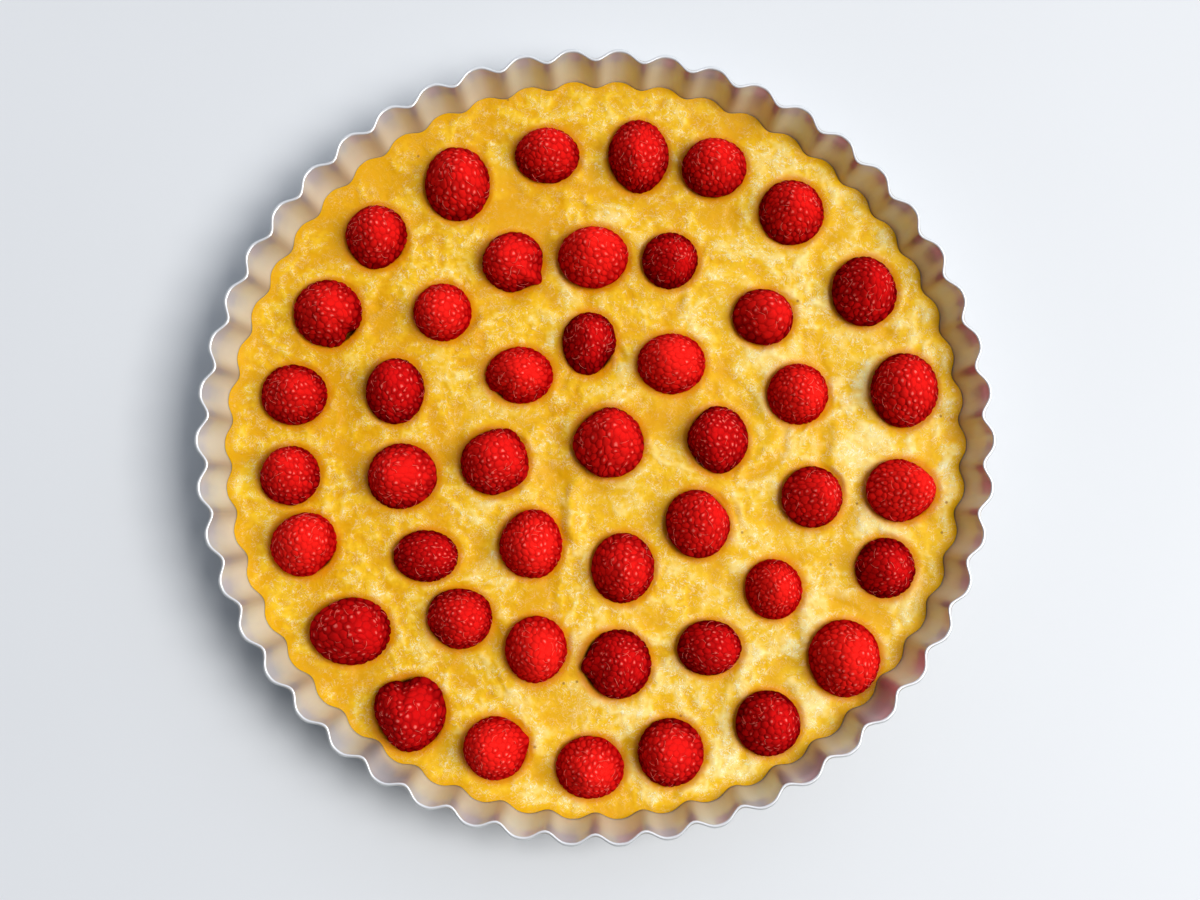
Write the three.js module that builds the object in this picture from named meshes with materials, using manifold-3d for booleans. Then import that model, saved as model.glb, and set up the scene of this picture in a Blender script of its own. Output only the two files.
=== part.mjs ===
// A raspberry frangipane tart, spread and dotted but not yet baked: soft almond filling
// in a round fluted metal tin, with whole raspberries pressed into it, tips up, in three
// rings round one in the middle.
// Millimetres, +Z up. The origin is the centre of the tin's underside.

import * as THREE from 'three';
import { mergeVertices } from 'three/addons/utils/BufferGeometryUtils.js';
import Module from 'manifold-3d';

const wasm = await Module();
wasm.setup();

// ---- Driving dimensions ----

// The tin, pressed from one sheet with the edge of its rim thickened into a lip
const RIM_RADIUS = 140; // over the crests of the flutes
const TIN_HEIGHT = 30;
const SHEET = 0.8;
const WALL_LEAN = THREE.MathUtils.degToRad(23); // outward, from upright
const LIP_WIDTH = 1.5;
const LIP_DEPTH = 1.6;
const FLUTES = 50;
const FLUTE_DEPTH_AT_RIM = 3.6; // from crest to valley
const FLUTE_DEPTH_AT_BASE = 1.2;
const FLUTE_STEPS = [0, 60, 140, 220, 300].map(THREE.MathUtils.degToRad); // corners of one flute
const VALLEY_SHARPNESS = 1.4; // over 1, the valleys are narrower than the crests

// The filling
const GAP = 0.3; // between pieces that touch
const WALL_GAP = 0.55; // between the filling's side and the fluted wall
const FILLING_LEVEL = 16;
const SWELL = 0.9; // height of its broad spoon marks above and below that level
const SWELL_REACH = [21, 26]; // how far they run along x and along y, for one radian
const SWELL_BEND = 1.3; // how much they bend to and fro
const SWELL_BEND_REACH = 34;
const SWELL_SKEW_REACH = 60; // the longer this is, the less they slant
const EDGE_DROP = 1.2; // how far its top rounds down to the wall
const SHOULDER_INSET = 4; // from the wall to where that rounding starts
// Rings of points over its top, from the shoulder inward: [radius, how many points]
const TOP_RINGS = [[112, 25], [84, 25], [54, 25], [24, 5]];

// The raspberries
const SINK = 6; // how deep they stand in the filling
const STAND_PER_SPAN = 0.72; // how far they stand out of it, as a share of their span
const STAND_MORE = 0.5; // and this much more
const STAND_MOST = 19; // but never further than this
const KNOB_DEPTH = 0.08; // of the bumpy outline, as a share of the radius
const BERRY_SIDES = 8;
// Rings of knobs from the foot up: [share of the height, share of the radius]
const BERRY_PROFILE = [[0, 0.7], [0.14, 0.93], [0.3, 1], [0.62, 0.74], [0.86, 0.46]];
const LEAN_MOST = THREE.MathUtils.degToRad(6);
const LEAN_VARIES = 1.7; // radians from one berry to the next, for how far it leans
const LEAN_TURNS = 2.4; // and for which way
const SOCKET_PROFILE = [[0, 0.98], [0.5, 1.1]]; // the same, for the hollow each one stands in

// Where each raspberry stands, [x, y], and how wide it is along x and along y
const OUTER_RING = [
  [-17.5, 104.5, 23.5, 20.5], [15, 103.5, 22, 26.5], [43, 100, 23.5, 22],
  [70, 84, 23.5, 24], [96.5, 54.5, 23.5, 25.5], [110.5, 19.5, 24, 27],
  [108, -17, 25.5, 22.5], [103, -44.5, 21.5, 21.5], [87.5, -75.5, 25.5, 27.5],
  [60.5, -99, 23, 23], [27, -108.5, 23.5, 24], [-2, -114, 24, 22],
  [-34.5, -108, 23.5, 22.5], [-65, -95.5, 25.5, 26.5], [-87, -67, 28.5, 24],
  [-103, -36, 23.5, 23], [-109, -11, 21.5, 21.5], [-107.5, 17, 23.5, 22],
  [-95.5, 47, 24.5, 24.5], [-79.5, 74.5, 22.5, 23.5], [-49.5, 93.5, 23.5, 27],
];
const MIDDLE_RING = [
  [-30, 66, 22, 22], [-1, 67, 25.5, 23], [27.5, 66, 20.5, 20.5],
  [60, 45.5, 22, 20.5], [72.5, 17, 22, 22], [77, -19, 22, 22],
  [62.5, -52, 20.5, 21.5], [40.5, -72.5, 23, 19.5], [7, -77.5, 25, 24.5],
  [-21, -73.5, 22, 24], [-47.5, -62, 23, 21.5], [-60.5, -40, 23, 18.5],
  [-68.5, -12, 25, 23.5], [-71.5, 19.5, 21, 24], [-55, 47, 21, 21],
];
const INNER_RING = [
  [-1.5, 36, 19.5, 23], [27, 28.5, 24.5, 22], [43.5, 0.5, 22, 24.5],
  [36.5, -28.5, 23, 24.5], [9, -44.5, 22.5, 25], [-22.5, -36, 22.5, 24.5],
  [-36, -6, 24.5, 24], [-27.5, 24, 24.5, 20.5],
];
const CENTRE_BERRY = [5, 0.5, 25.5, 25.5];

// ---- Shared shape helpers ----

// Triangles for the band between two rings of point numbers, which may differ in count:
// each triangle steps along whichever ring is behind.
function bandTriangles(lower, upper) {
  const triangles = [];
  let low = 0;
  let high = 0;
  while (low < lower.length || high < upper.length) {
    const left = lower[low % lower.length];
    const leftAbove = upper[high % upper.length];
    if ((low + 1) / lower.length <= (high + 1) / upper.length) {
      low += 1;
      triangles.push(left, lower[low % lower.length], leftAbove);
    } else {
      high += 1;
      triangles.push(left, upper[high % upper.length], leftAbove);
    }
  }
  return triangles;
}

// A closed mesh from rings of points, listed from the middle of the underside outward, up
// the side and in again over the top, with a fan to a middle point at each end.
function geometryFromRings(start, rings, end) {
  const points = [start, ...rings.flat(), end];
  let first = 1;
  const numbers = rings.map((ring) => {
    first += ring.length;
    return ring.map((_, step) => first - ring.length + step);
  });
  const around = (ring, step) => ring[(step + 1) % ring.length];
  const geometry = new THREE.BufferGeometry().setFromPoints(points);
  geometry.setIndex([
    ...numbers[0].flatMap((number, step) => [0, around(numbers[0], step), number]),
    ...numbers.slice(1).flatMap((ring, below) => bandTriangles(numbers[below], ring)),
    ...numbers.at(-1).flatMap((number, step) =>
      [points.length - 1, number, around(numbers.at(-1), step)]),
  ]);
  geometry.computeVertexNormals();
  return geometry;
}

function toManifold(geometry) {
  const bare = geometry.clone();
  bare.deleteAttribute('normal');
  bare.deleteAttribute('uv');
  const merged = mergeVertices(bare);
  return new wasm.Manifold(new wasm.Mesh({
    numProp: 3,
    vertProperties: new Float32Array(merged.attributes.position.array),
    triVerts: new Uint32Array(merged.index.array),
  }));
}

function fromManifold(solid) {
  const { vertProperties, triVerts } = solid.getMesh();
  const geometry = new THREE.BufferGeometry();
  geometry.setAttribute('position', new THREE.BufferAttribute(new Float32Array(vertProperties), 3));
  geometry.setIndex(new THREE.BufferAttribute(new Uint32Array(triVerts), 1));
  geometry.computeVertexNormals();
  return geometry;
}

function namedMesh(name, geometry, material) {
  const mesh = new THREE.Mesh(geometry, material);
  mesh.name = name;
  return mesh;
}

const ringPoint = (radius, angle, z) =>
  new THREE.Vector3(radius * Math.cos(angle), radius * Math.sin(angle), z);

// ---- The tin ----

const fluteDepth = (z) =>
  THREE.MathUtils.lerp(FLUTE_DEPTH_AT_BASE, FLUTE_DEPTH_AT_RIM, z / TIN_HEIGHT);

// The radius of the wall's inner face at height z, over the crests
const innerCrestRadius = (z) =>
  RIM_RADIUS - LIP_WIDTH - (TIN_HEIGHT - z) * Math.tan(WALL_LEAN);

function flutedRing(crestRadius, z) {
  const flute = (2 * Math.PI) / FLUTES;
  return Array.from({ length: FLUTES }, (_, number) => FLUTE_STEPS.map((step) => {
    const valley = ((1 - Math.cos(step)) / 2) ** VALLEY_SHARPNESS;
    const angle = (number + step / (2 * Math.PI)) * flute;
    return ringPoint(crestRadius - fluteDepth(z) * valley, angle, z);
  })).flat();
}

// The space inside the tin, open at the top
function hollowGeometry() {
  const rings = [SHEET, TIN_HEIGHT].map((z) => flutedRing(innerCrestRadius(z), z));
  return geometryFromRings(ringPoint(0, 0, SHEET), rings, ringPoint(0, 0, TIN_HEIGHT));
}

function tinGeometry() {
  const underLip = TIN_HEIGHT - LIP_DEPTH;
  const rings = [
    flutedRing(innerCrestRadius(0) + SHEET, 0),
    flutedRing(innerCrestRadius(underLip) + SHEET, underLip),
    flutedRing(RIM_RADIUS, TIN_HEIGHT),
  ];
  const block = geometryFromRings(ringPoint(0, 0, 0), rings, ringPoint(0, 0, TIN_HEIGHT));
  return fromManifold(toManifold(block).subtract(toManifold(hollowGeometry())));
}

// ---- The raspberries ----

function raspberryHeight([, , spanX, spanY]) {
  const stand = STAND_PER_SPAN * (spanX + spanY) / 2 + STAND_MORE;
  return SINK + Math.min(stand, STAND_MOST);
}

// A ring of points round a berry, with the radius that radiusAt gives for each point
function ovalRing([, , spanX, spanY], radiusAt, turn, z) {
  return Array.from({ length: BERRY_SIDES }, (_, side) => {
    const angle = ((side + turn) / BERRY_SIDES) * 2 * Math.PI;
    const x = radiusAt(spanX / 2, side) * Math.cos(angle);
    return new THREE.Vector3(x, radiusAt(spanY / 2, side) * Math.sin(angle), z);
  });
}

// A blunt cone with a knobbly skin, wide end down. Knobs and dents alternate round each
// ring, and each ring is turned half a step against the one below.
function raspberryGeometry(berry) {
  const height = raspberryHeight(berry);
  const rings = BERRY_PROFILE.map(([up, out], ring) => {
    const knobbly = (radius, side) => radius * out * (side % 2 === 0 ? 1 : 1 - KNOB_DEPTH);
    return ovalRing(berry, knobbly, (ring % 2) / 2, up * height);
  });
  return geometryFromRings(ringPoint(0, 0, 0), rings, ringPoint(0, 0, height));
}

// The hollow that a raspberry presses in the filling, a little wider than the berry
function socketGeometry(berry) {
  const height = raspberryHeight(berry);
  const rings = SOCKET_PROFILE.map(([up, out]) =>
    ovalRing(berry, (radius) => radius * out + GAP, 0, up * height - GAP));
  const [foot, top] = rings.map((ring) => ringPoint(0, 0, ring[0].z));
  return geometryFromRings(foot, rings, top);
}

// Each raspberry leans a little its own way.
function raspberryPlace([x, y], number) {
  const place = new THREE.Object3D();
  const leanAxis = ringPoint(1, number * LEAN_TURNS, 0);
  const lean = LEAN_MOST * Math.abs(Math.sin(number * LEAN_VARIES));
  place.position.set(x, y, FILLING_LEVEL - SINK);
  place.quaternion.setFromAxisAngle(leanAxis, lean);
  return place;
}

// ---- The filling ----

// The height of the filling's top over its middle part: broad, low marks left by the spoon
function spoonedHeight(x, y) {
  const bend = SWELL_BEND * Math.sin(y / SWELL_BEND_REACH);
  const along = Math.sin(x / SWELL_REACH[0] + bend);
  const across = Math.cos(y / SWELL_REACH[1] - x / SWELL_SKEW_REACH);
  return FILLING_LEVEL + SWELL * along * across;
}

const evenRing = (radius, count) => Array.from({ length: count }, (_, number) =>
  ringPoint(radius, (number / count) * 2 * Math.PI, 0));

function fillingGeometry(berries) {
  const floor = SHEET + GAP;
  const edge = FILLING_LEVEL - EDGE_DROP;
  const edgeRadius = innerCrestRadius(edge) - WALL_GAP;
  const rings = [
    flutedRing(innerCrestRadius(floor) - WALL_GAP, floor),
    flutedRing(edgeRadius, edge),
    ...[[edgeRadius - SHOULDER_INSET, FLUTES], ...TOP_RINGS].map(([radius, count]) =>
      evenRing(radius, count).map((point) => point.setZ(spoonedHeight(point.x, point.y)))),
  ];
  const middle = ringPoint(0, 0, spoonedHeight(0, 0));
  let solid = toManifold(geometryFromRings(ringPoint(0, 0, floor), rings, middle));
  berries.forEach((berry, number) => {
    const place = raspberryPlace(berry, number);
    place.updateMatrix();
    const socket = socketGeometry(berry).applyMatrix4(place.matrix);
    solid = solid.subtract(toManifold(socket));
  });
  return fromManifold(solid);
}

// ---- The tart ----

const tinMetal = new THREE.MeshStandardMaterial({ color: 0xc4c0ba, roughness: 0.38, metalness: 1 });
const almondFilling = new THREE.MeshStandardMaterial({ color: 0xe8bb4c, roughness: 0.5, metalness: 0 });
const raspberryFlesh = new THREE.MeshStandardMaterial({ color: 0xc01020, roughness: 0.4, metalness: 0 });

const rings = { outer: OUTER_RING, middle: MIDDLE_RING, inner: INNER_RING };
const berries = [...Object.values(rings).flat(), CENTRE_BERRY];
const berryNames = [
  ...Object.entries(rings).flatMap(([ring, places]) =>
    places.map((_, number) => `raspberry_${ring}_${String(number + 1).padStart(2, '0')}`)),
  'raspberry_centre',
];

const tart = new THREE.Group();
tart.add(namedMesh('tin', tinGeometry(), tinMetal));
tart.add(namedMesh('filling', fillingGeometry(berries), almondFilling));
berries.forEach((berry, number) => {
  const mesh = namedMesh(berryNames[number], raspberryGeometry(berry), raspberryFlesh.clone());
  const place = raspberryPlace(berry, number);
  mesh.position.copy(place.position);
  mesh.quaternion.copy(place.quaternion);
  tart.add(mesh);
});

export default tart;
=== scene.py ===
# A raspberry frangipane tart, ready for the oven: a fluted metal tin, soft almond filling
# spread to its wall, and whole raspberries pressed in with their tips up.
# Metres, +Z up, round the solids of the frame.

import math

import bmesh
import bpy
import numpy as np
from mathutils import Matrix, Vector


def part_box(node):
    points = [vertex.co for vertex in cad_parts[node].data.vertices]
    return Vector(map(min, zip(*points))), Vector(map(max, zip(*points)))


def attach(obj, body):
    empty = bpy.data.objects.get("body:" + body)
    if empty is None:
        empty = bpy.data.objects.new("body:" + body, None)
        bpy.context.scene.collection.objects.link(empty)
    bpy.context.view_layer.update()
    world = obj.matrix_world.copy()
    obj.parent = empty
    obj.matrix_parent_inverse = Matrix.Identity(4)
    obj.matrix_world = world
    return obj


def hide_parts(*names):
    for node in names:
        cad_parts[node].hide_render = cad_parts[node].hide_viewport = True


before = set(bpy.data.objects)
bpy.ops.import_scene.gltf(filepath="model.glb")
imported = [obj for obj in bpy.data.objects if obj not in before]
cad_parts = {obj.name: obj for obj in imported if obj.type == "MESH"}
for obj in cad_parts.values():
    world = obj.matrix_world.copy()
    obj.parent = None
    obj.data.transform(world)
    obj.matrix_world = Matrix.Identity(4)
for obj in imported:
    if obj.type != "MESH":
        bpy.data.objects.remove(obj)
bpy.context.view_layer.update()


# ---- The tin ----
# A deep-fluted round tart tin, pressed from one sheet of soft grey metal. Its wall leans
# out, the flutes are deepest at the rim, and the edge is rolled into a narrow lip,
# painted lighter as a highlight.

MM = 0.001
TIN_LOW, TIN_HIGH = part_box("tin")
RIM_RADIUS = (TIN_HIGH.x - TIN_LOW.x) / 2
TIN_HEIGHT = TIN_HIGH.z - TIN_LOW.z
SHEET = 0.8 * MM
WALL_LEAN = math.tan(math.radians(23))
WALL_STEPS = 8
LIP_WIDTH = 1.5 * MM
LIP_DEPTH = 1.6 * MM
# The angles at which the lip's bend starts outside and ends inside, straight outward being 0
LIP_TURN = (-75, 180)
LIP_STEPS = 11
FOOT_BEND = 1.6 * MM
FOOT_STEPS = 5
# The rings of points on the floor and under it, as shares of the foot's radius
FLOOR_RINGS = (0.25, 0.6, 0.84, 0.92)
FLUTES = 50
FLUTE_DEPTH_AT_RIM = 3.6 * MM
FLUTE_DEPTH_AT_BASE = 1.2 * MM
VALLEY_SHARPNESS = 1.4
COLUMNS_PER_FLUTE = 14
# Where the round floor turns into flutes, as shares of the foot's radius
FLUTES_FADE_IN = (0.85, 0.97)
# The metal's dark clouds and its light ones
TIN_TONES = [(0.35, (0.62, 0.645, 0.65)), (0.65, (0.71, 0.735, 0.74))]
# The crease colour is painted shade, laid in the bottoms of the flutes
TIN_CREASE_SHADE = (0.40, 0.32, 0.24)
CREASE_NARROWNESS = 4
CREASE_SHADE_STRENGTH = 0.7
# The lip's colour is a painted highlight, lighter than the rest of the metal
LIP_HIGHLIGHT = (0.80, 0.80, 0.81)
# How far under the rim the lip's painted highlight starts, and where it is full
LIP_HIGHLIGHT_EDGE = (0.2 * MM, 0.08 * MM)
# How many clouds and drawing lines there are to the metre, along x, y and z
TIN_CLOUDS = 38.0
DRAWING_LINES = (900.0, 900.0, 60.0)
DRAWING_DEPTH = 0.2 * MM
DRAWING_STRENGTH = 0.1
TIN_ROUGHNESS = (0.26, 0.40)
TIN_SURFACE = {"Metallic": 0.45}


def crest_radius(z):
    """The radius of the wall's inner face at height z, over the crests of the flutes."""
    return RIM_RADIUS - LIP_WIDTH - (TIN_HEIGHT - z) * WALL_LEAN


def valley(angle):
    """0 on a crest of the flutes and 1 at the bottom of a valley."""
    return (1 - np.cos(FLUTES * angle)) / 2


def fluted(radius, z, angle):
    """That radius at an angle, with the flutes pressed in."""
    depth = FLUTE_DEPTH_AT_BASE + (FLUTE_DEPTH_AT_RIM - FLUTE_DEPTH_AT_BASE) * z / TIN_HEIGHT
    return radius - depth * valley(angle) ** VALLEY_SHARPNESS


def ease(value, low, high):
    """0 below low, 1 above high, and smooth between."""
    t = np.clip((value - low) / (high - low), 0, 1)
    return t * t * (3 - 2 * t)


def bend(centre_r, centre_z, radius, start, end, steps):
    """Points (r, z) round a bend of the sheet, angles in degrees from straight outward."""
    angles = np.radians(np.linspace(start, end, steps))
    return [(centre_r + radius * math.cos(a), centre_z + radius * math.sin(a)) for a in angles]


def tin_section():
    """The tin's section over a crest, (r, z) from near the middle of the underside, up the
    outside, over the lip, down the inside and back over its floor."""
    outer = crest_radius(0) + SHEET
    inner = crest_radius(SHEET)
    lip = LIP_WIDTH / 2
    lean = math.degrees(math.atan(WALL_LEAN))
    inner_bend = FOOT_BEND - SHEET / 2
    outer_heights = np.linspace(FOOT_BEND, TIN_HEIGHT - LIP_DEPTH - lip / 2, WALL_STEPS)
    inner_heights = np.linspace(TIN_HEIGHT - LIP_WIDTH, SHEET + inner_bend, WALL_STEPS)
    section = [(share * outer, 0.0) for share in FLOOR_RINGS]
    section += bend(outer - FOOT_BEND, FOOT_BEND, FOOT_BEND, -90, -lean, FOOT_STEPS)
    section += [(crest_radius(z) + SHEET, z) for z in outer_heights[1:]]
    section += bend(RIM_RADIUS - lip, TIN_HEIGHT - lip, lip, *LIP_TURN, LIP_STEPS)
    section += [(crest_radius(z), z) for z in inner_heights]
    foot = bend(inner - inner_bend, SHEET + inner_bend, inner_bend, -lean, -90, FOOT_STEPS)
    section += foot[1:]
    section += [(share * inner, SHEET) for share in reversed(FLOOR_RINGS)]
    return section


def ring_points(radius, z, angle):
    """Points at those radii and angles, all at height z."""
    return np.stack([radius * np.cos(angle), radius * np.sin(angle), 0 * angle + z], 1)


def tin_points(section):
    """The points of the tin: the section at every column, between two middle points."""
    columns = FLUTES * COLUMNS_PER_FLUTE
    angle = np.arange(columns) * math.tau / columns
    points = [np.zeros((1, 3))]
    for r, z in section:
        share = ease(r / crest_radius(0), *FLUTES_FADE_IN)
        radius = r + share * (fluted(r, z, angle) - r)
        points.append(ring_points(radius, z, angle))
    points.append(np.array([[0, 0, SHEET]]))
    return np.concatenate(points)


def band_faces(low, high, columns):
    """Quads between two closed rings of points that start at those numbers."""
    here = np.arange(columns)
    following = (here + 1) % columns
    return np.stack([low + here, low + following, high + following, high + here], 1).tolist()


def fan_faces(middle, ring, columns, upward):
    """Triangles from a middle point to a closed ring, facing up or down."""
    here = np.arange(columns)
    following = (here + 1) % columns
    sides = (here, following) if upward else (following, here)
    return np.stack([0 * here + middle, ring + sides[0], ring + sides[1]], 1).tolist()


def tin_faces(rings):
    """The faces between those rings of points, closed by a fan at each end."""
    columns = FLUTES * COLUMNS_PER_FLUTE
    starts = [1 + ring * columns for ring in range(rings)]
    faces = fan_faces(0, starts[0], columns, upward=False)
    for low, high in zip(starts, starts[1:]):
        faces += band_faces(low, high, columns)
    return faces + fan_faces(starts[-1] + columns, starts[-1], columns, upward=True)


def add_piece(name, points, faces, material, replaced=()):
    """A smooth mesh piece of the tart, which stands for those solids of the frame."""
    mesh = bpy.data.meshes.new(name)
    mesh.from_pydata(points, [], faces)
    mesh.validate()
    mesh.shade_smooth()
    mesh.materials.append(material)
    piece = bpy.data.objects.new(name, mesh)
    bpy.context.collection.objects.link(piece)
    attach(piece, "root")
    if replaced:
        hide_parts(*replaced)
    return piece


def store(piece, name, values):
    """Keeps one number per point on a piece's mesh, for its finish to read."""
    attribute = piece.data.attributes.new(name, "FLOAT", "POINT")
    attribute.data.foreach_set("value", np.asarray(values, np.float32))


def node_maker(tree):
    """A function that adds a node to that tree, with its inputs set or linked."""

    def add(kind, inputs=None, **settings):
        node = tree.nodes.new(kind)
        for key, value in settings.items():
            setattr(node, key, value)
        for key, value in (inputs or {}).items():
            if isinstance(value, bpy.types.NodeSocket):
                tree.links.new(value, node.inputs[key])
            else:
                node.inputs[key].default_value = value
        return node

    return add


def new_finish(name, surface):
    """A material, its Principled shader with that surface, and a maker for its nodes and
    one for its links."""
    material = bpy.data.materials.new(name)
    material.use_nodes = True
    tree = material.node_tree
    shader = tree.nodes["Principled BSDF"]
    for quality, value in surface.items():
        shader.inputs[quality].default_value = value
    return material, shader, node_maker(tree), tree.links.new


def attribute(add, name):
    """The numbers that a piece keeps under that name."""
    return add("ShaderNodeAttribute", attribute_name=name).outputs["Fac"]


def noise(add, place, scale, **inputs):
    """Soft random clouds from 0 to 1, that many to the metre."""
    return add("ShaderNodeTexNoise", {"Vector": place, "Scale": scale, **inputs}).outputs["Fac"]


def maths(add, operation, *values):
    """One step of arithmetic on numbers and the outputs of nodes."""
    return add("ShaderNodeMath", dict(enumerate(values)), operation=operation).outputs[0]


def scaled(add, value, from_range, to_range):
    """A value moved from one range to another."""
    moved = add("ShaderNodeMapRange", {"Value": value,
                                       "From Min": from_range[0], "From Max": from_range[1],
                                       "To Min": to_range[0], "To Max": to_range[1]})
    return moved.outputs["Result"]


def colour_ramp(add, factor, tones):
    """Colours blended along a factor, from tones of (place, (r, g, b))."""
    ramp = add("ShaderNodeValToRGB", {"Fac": factor})
    elements = ramp.color_ramp.elements
    while len(elements) < len(tones):
        elements.new(0.5)
    for element, (place, colour) in zip(elements, tones):
        element.position = place
        element.color = (*colour, 1)
    return ramp.outputs["Color"]


def blend(add, factor, colour, other):
    """The colour, turning into the other as the factor goes from 0 to 1. A Mix node's
    colours are its inputs 6 and 7 and its output 2."""
    mix = add("ShaderNodeMix", {"Factor": factor, 6: colour, 7: (*other, 1)}, data_type="RGBA")
    return mix.outputs[2]


def relief(add, height, depth, strength, **under):
    """The slopes of a fine relief, laid over another where that is given."""
    bump = add("ShaderNodeBump", {"Height": height, "Distance": depth, "Strength": strength, **under})
    return bump.outputs["Normal"]


def tin_metal():
    """Dull grey-white metal, faintly clouded, with painted shade that darkens and browns the
    creases, and fine drawing lines up the wall. The lip is painted lighter, as a painted highlight."""
    material, shader, add, link = new_finish("tin_metal", TIN_SURFACE)
    place = add("ShaderNodeTexCoord").outputs["Object"]
    cloud = noise(add, place, TIN_CLOUDS, Detail=4.0)
    upright = add("ShaderNodeMapping", {"Vector": place, "Scale": DRAWING_LINES})
    lines = noise(add, upright.outputs["Vector"], 1.0)
    dull = colour_ramp(add, cloud, TIN_TONES)
    # Painted shade in the creases of the flutes
    crease_shade = maths(add, "MULTIPLY", attribute(add, "crease_shade_mask"), CREASE_SHADE_STRENGTH)
    dull = blend(add, crease_shade, dull, TIN_CREASE_SHADE)
    height = add("ShaderNodeSeparateXYZ", {"Vector": place}).outputs["Z"]
    # Painted highlight on the lip
    lip = scaled(add, height, [TIN_HEIGHT - below for below in LIP_HIGHLIGHT_EDGE], (0, 1))
    link(blend(add, lip, dull, LIP_HIGHLIGHT), shader.inputs["Base Color"])
    link(scaled(add, cloud, (0, 1), TIN_ROUGHNESS), shader.inputs["Roughness"])
    link(relief(add, lines, DRAWING_DEPTH, DRAWING_STRENGTH), shader.inputs["Normal"])
    return material


section = tin_section()
points = tin_points(section)
tin = add_piece("fluted_tin", points, tin_faces(len(section)), tin_metal(), ["tin"])
angle = np.arctan2(points[:, 1], points[:, 0])
# Where the painted shade of the creases lies: the bottoms of the flutes on the wall
crease_shade_mask = valley(angle) ** CREASE_NARROWNESS
on_wall = ease(np.hypot(points[:, 0], points[:, 1]) / crest_radius(0), *FLUTES_FADE_IN)
store(tin, "crease_shade_mask", crease_shade_mask * on_wall)


# ---- The almond filling ----
# A thick batter of butter, sugar, egg and ground almonds, spread to the wall with the back
# of a spoon: broad swirls, a coarse grain, smooth amber hollows and a dent by every berry.

BERRY_NODES = sorted(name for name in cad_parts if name.startswith("raspberry_"))
FILLING_LEVEL = 16 * MM
EDGE_HEIGHT = 15.6 * MM
SHOULDER = 4 * MM
SHOULDER_CURVE = 2
WALL_GAP = 0.22 * MM
TOP_RINGS = 150
SIDE_RINGS = 6
# The power of the radius by which the flutes of its edge fade inward over the top
FLUTES_FADE_INWARD = 12
SWELL = 0.9 * MM
SWELL_REACH = (21 * MM, 26 * MM)
SWELL_BEND = 1.3
SWELL_BEND_REACH = 34 * MM
SWELL_SKEW_REACH = 60 * MM
# Random lumps come from a square lattice, and this cell of it lies at the tart's middle
LATTICE = 256
MIDDLE_CELL = 100
# How the marks wander: how far, how far apart, and the seeds for x and for y
WANDER = [(6 * MM, 21 * MM, (11, 12)), (1.5 * MM, 6 * MM, (18, 19))]
# Swirls, lumps, ridges and crumbs: how far apart they are, and their seeds
SWIRLS = [(11 * MM, 13), (6.5 * MM, 14)]
LUMPS = [(4.2 * MM, 15), (2.6 * MM, 20)]
RIDGES = (2.4 * MM, 16)
CRUMBS = (1.3 * MM, 17)
SWIRL_STRETCH = 0.8
FINER_SHARE = 0.4
RIDGE_SHARPNESS = 3.2
RIDGE_SHARE = 0.5
CRUMB_SHARE = 0.6
# Their heights in mm
SWIRL_HEIGHT = 0.45
LUMP_HEIGHT = 0.28
GRAIN_HEIGHT = 0.22
# The longest folds that the spoon left: height and breadth in mm, and points along the
# crest, with the channel on its right-hand side
FOLDS = [
    (1.3, 7.5, [(-2, -10), (-5, -15), (-7, -22), (-6, -32), (-3, -42)]),
    (1.1, 4.5, [(-15, 8), (-22, 9), (-27, 5), (-24, -2)]),
    (0.8, 4.0, [(-14, 46), (-27, 47), (-40, 42), (-48, 30)]),
    (0.9, 4.5, [(44, -10), (55, -2), (59, 10), (54, 27)]),
    (0.8, 4.0, [(-22, -86), (-33, -76), (-44, -74), (-52, -82)]),
    (0.9, 4.5, [(88, 12), (91, 0), (88, -14), (79, -31)]),
    (0.8, 4.0, [(20, 88), (10, 84), (-3, 88), (-20, 84)]),
]
# The share of a fold's length over which it fades, and its crest and channel as shares of
# its breadth and its height
FOLD_FADE = 0.2
CREST_BREADTH = 0.5
CHANNEL_PLACE = 1.2
CHANNEL_BREADTH = 0.75
CHANNEL_DEPTH = 0.6
CHANNEL_HOLLOW = 0.7
# Smooth hollows: place and radius in mm
HOLLOWS = [(-18, -6, 6), (6, -18, 5.5), (-46, 8, 5), (56, -6, 5), (30, 12, 5), (20, -57, 5),
           (52, 78, 5), (80, 30, 6), (-30, 92, 5), (-12, -92, 6), (90, -58, 5), (-90, 12, 5)]
HOLLOW_DEPTH = 0.9
HOLLOW_SMOOTHNESS = 0.85
HOLLOW_AMBER = 0.65
LOW_SWIRLS = (0.45, 1.1)
# The hollow beside each berry: its direction in radians, its place beyond the berry in mm,
# and its radius as shares of a reach in mm
PRESSED_SEED = 31
PRESSED_TURN = (-1.4, 0.9)
PRESSED_BEYOND = (0.5, 2.0)
PRESSED_SHARE = (0.5, 1.0)
PRESSED_REACH = 4.2
# Round each berry, how far inside its outline the dent, the socket, the amber ring of
# painted shade and the juice stain with painted shade start, and how far inside they are
# full. Below 0 is outside the outline
DENT_SIDE = (-1.8 * MM, 0.2 * MM)
DENT_DEPTH = 0.6 * MM
DENT_SMOOTHNESS = 0.6
SOCKET_SIDE = (0.8 * MM, 2.6 * MM)
SOCKET_FLOOR = 8.6 * MM
# The amber ring is painted shade round each berry
SHADE_RING_SIDE = (-4.2 * MM, -0.5 * MM)
SHADE_RING_SHARE = 0.6
# The juice ring is partly juice stain, partly painted contact shade and painted red glow from the berry
JUICE_AND_SHADE_SIDE = (-2.8 * MM, 0.1 * MM)
JUICE_AND_SHADE_STRENGTH = 0.9
# How pale the batter is, and how much paler on one side, on its high marks and where its
# grain shows
PALENESS = 0.32
PALER_SIDE = 0.2
PALER_TOWARDS = (1, -0.5)
PALER_SWIRL = 0.12
PALER_LUMP = 0.15
PALER_COARSE = 0.14
PALER_GRAIN = 0.18
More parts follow.
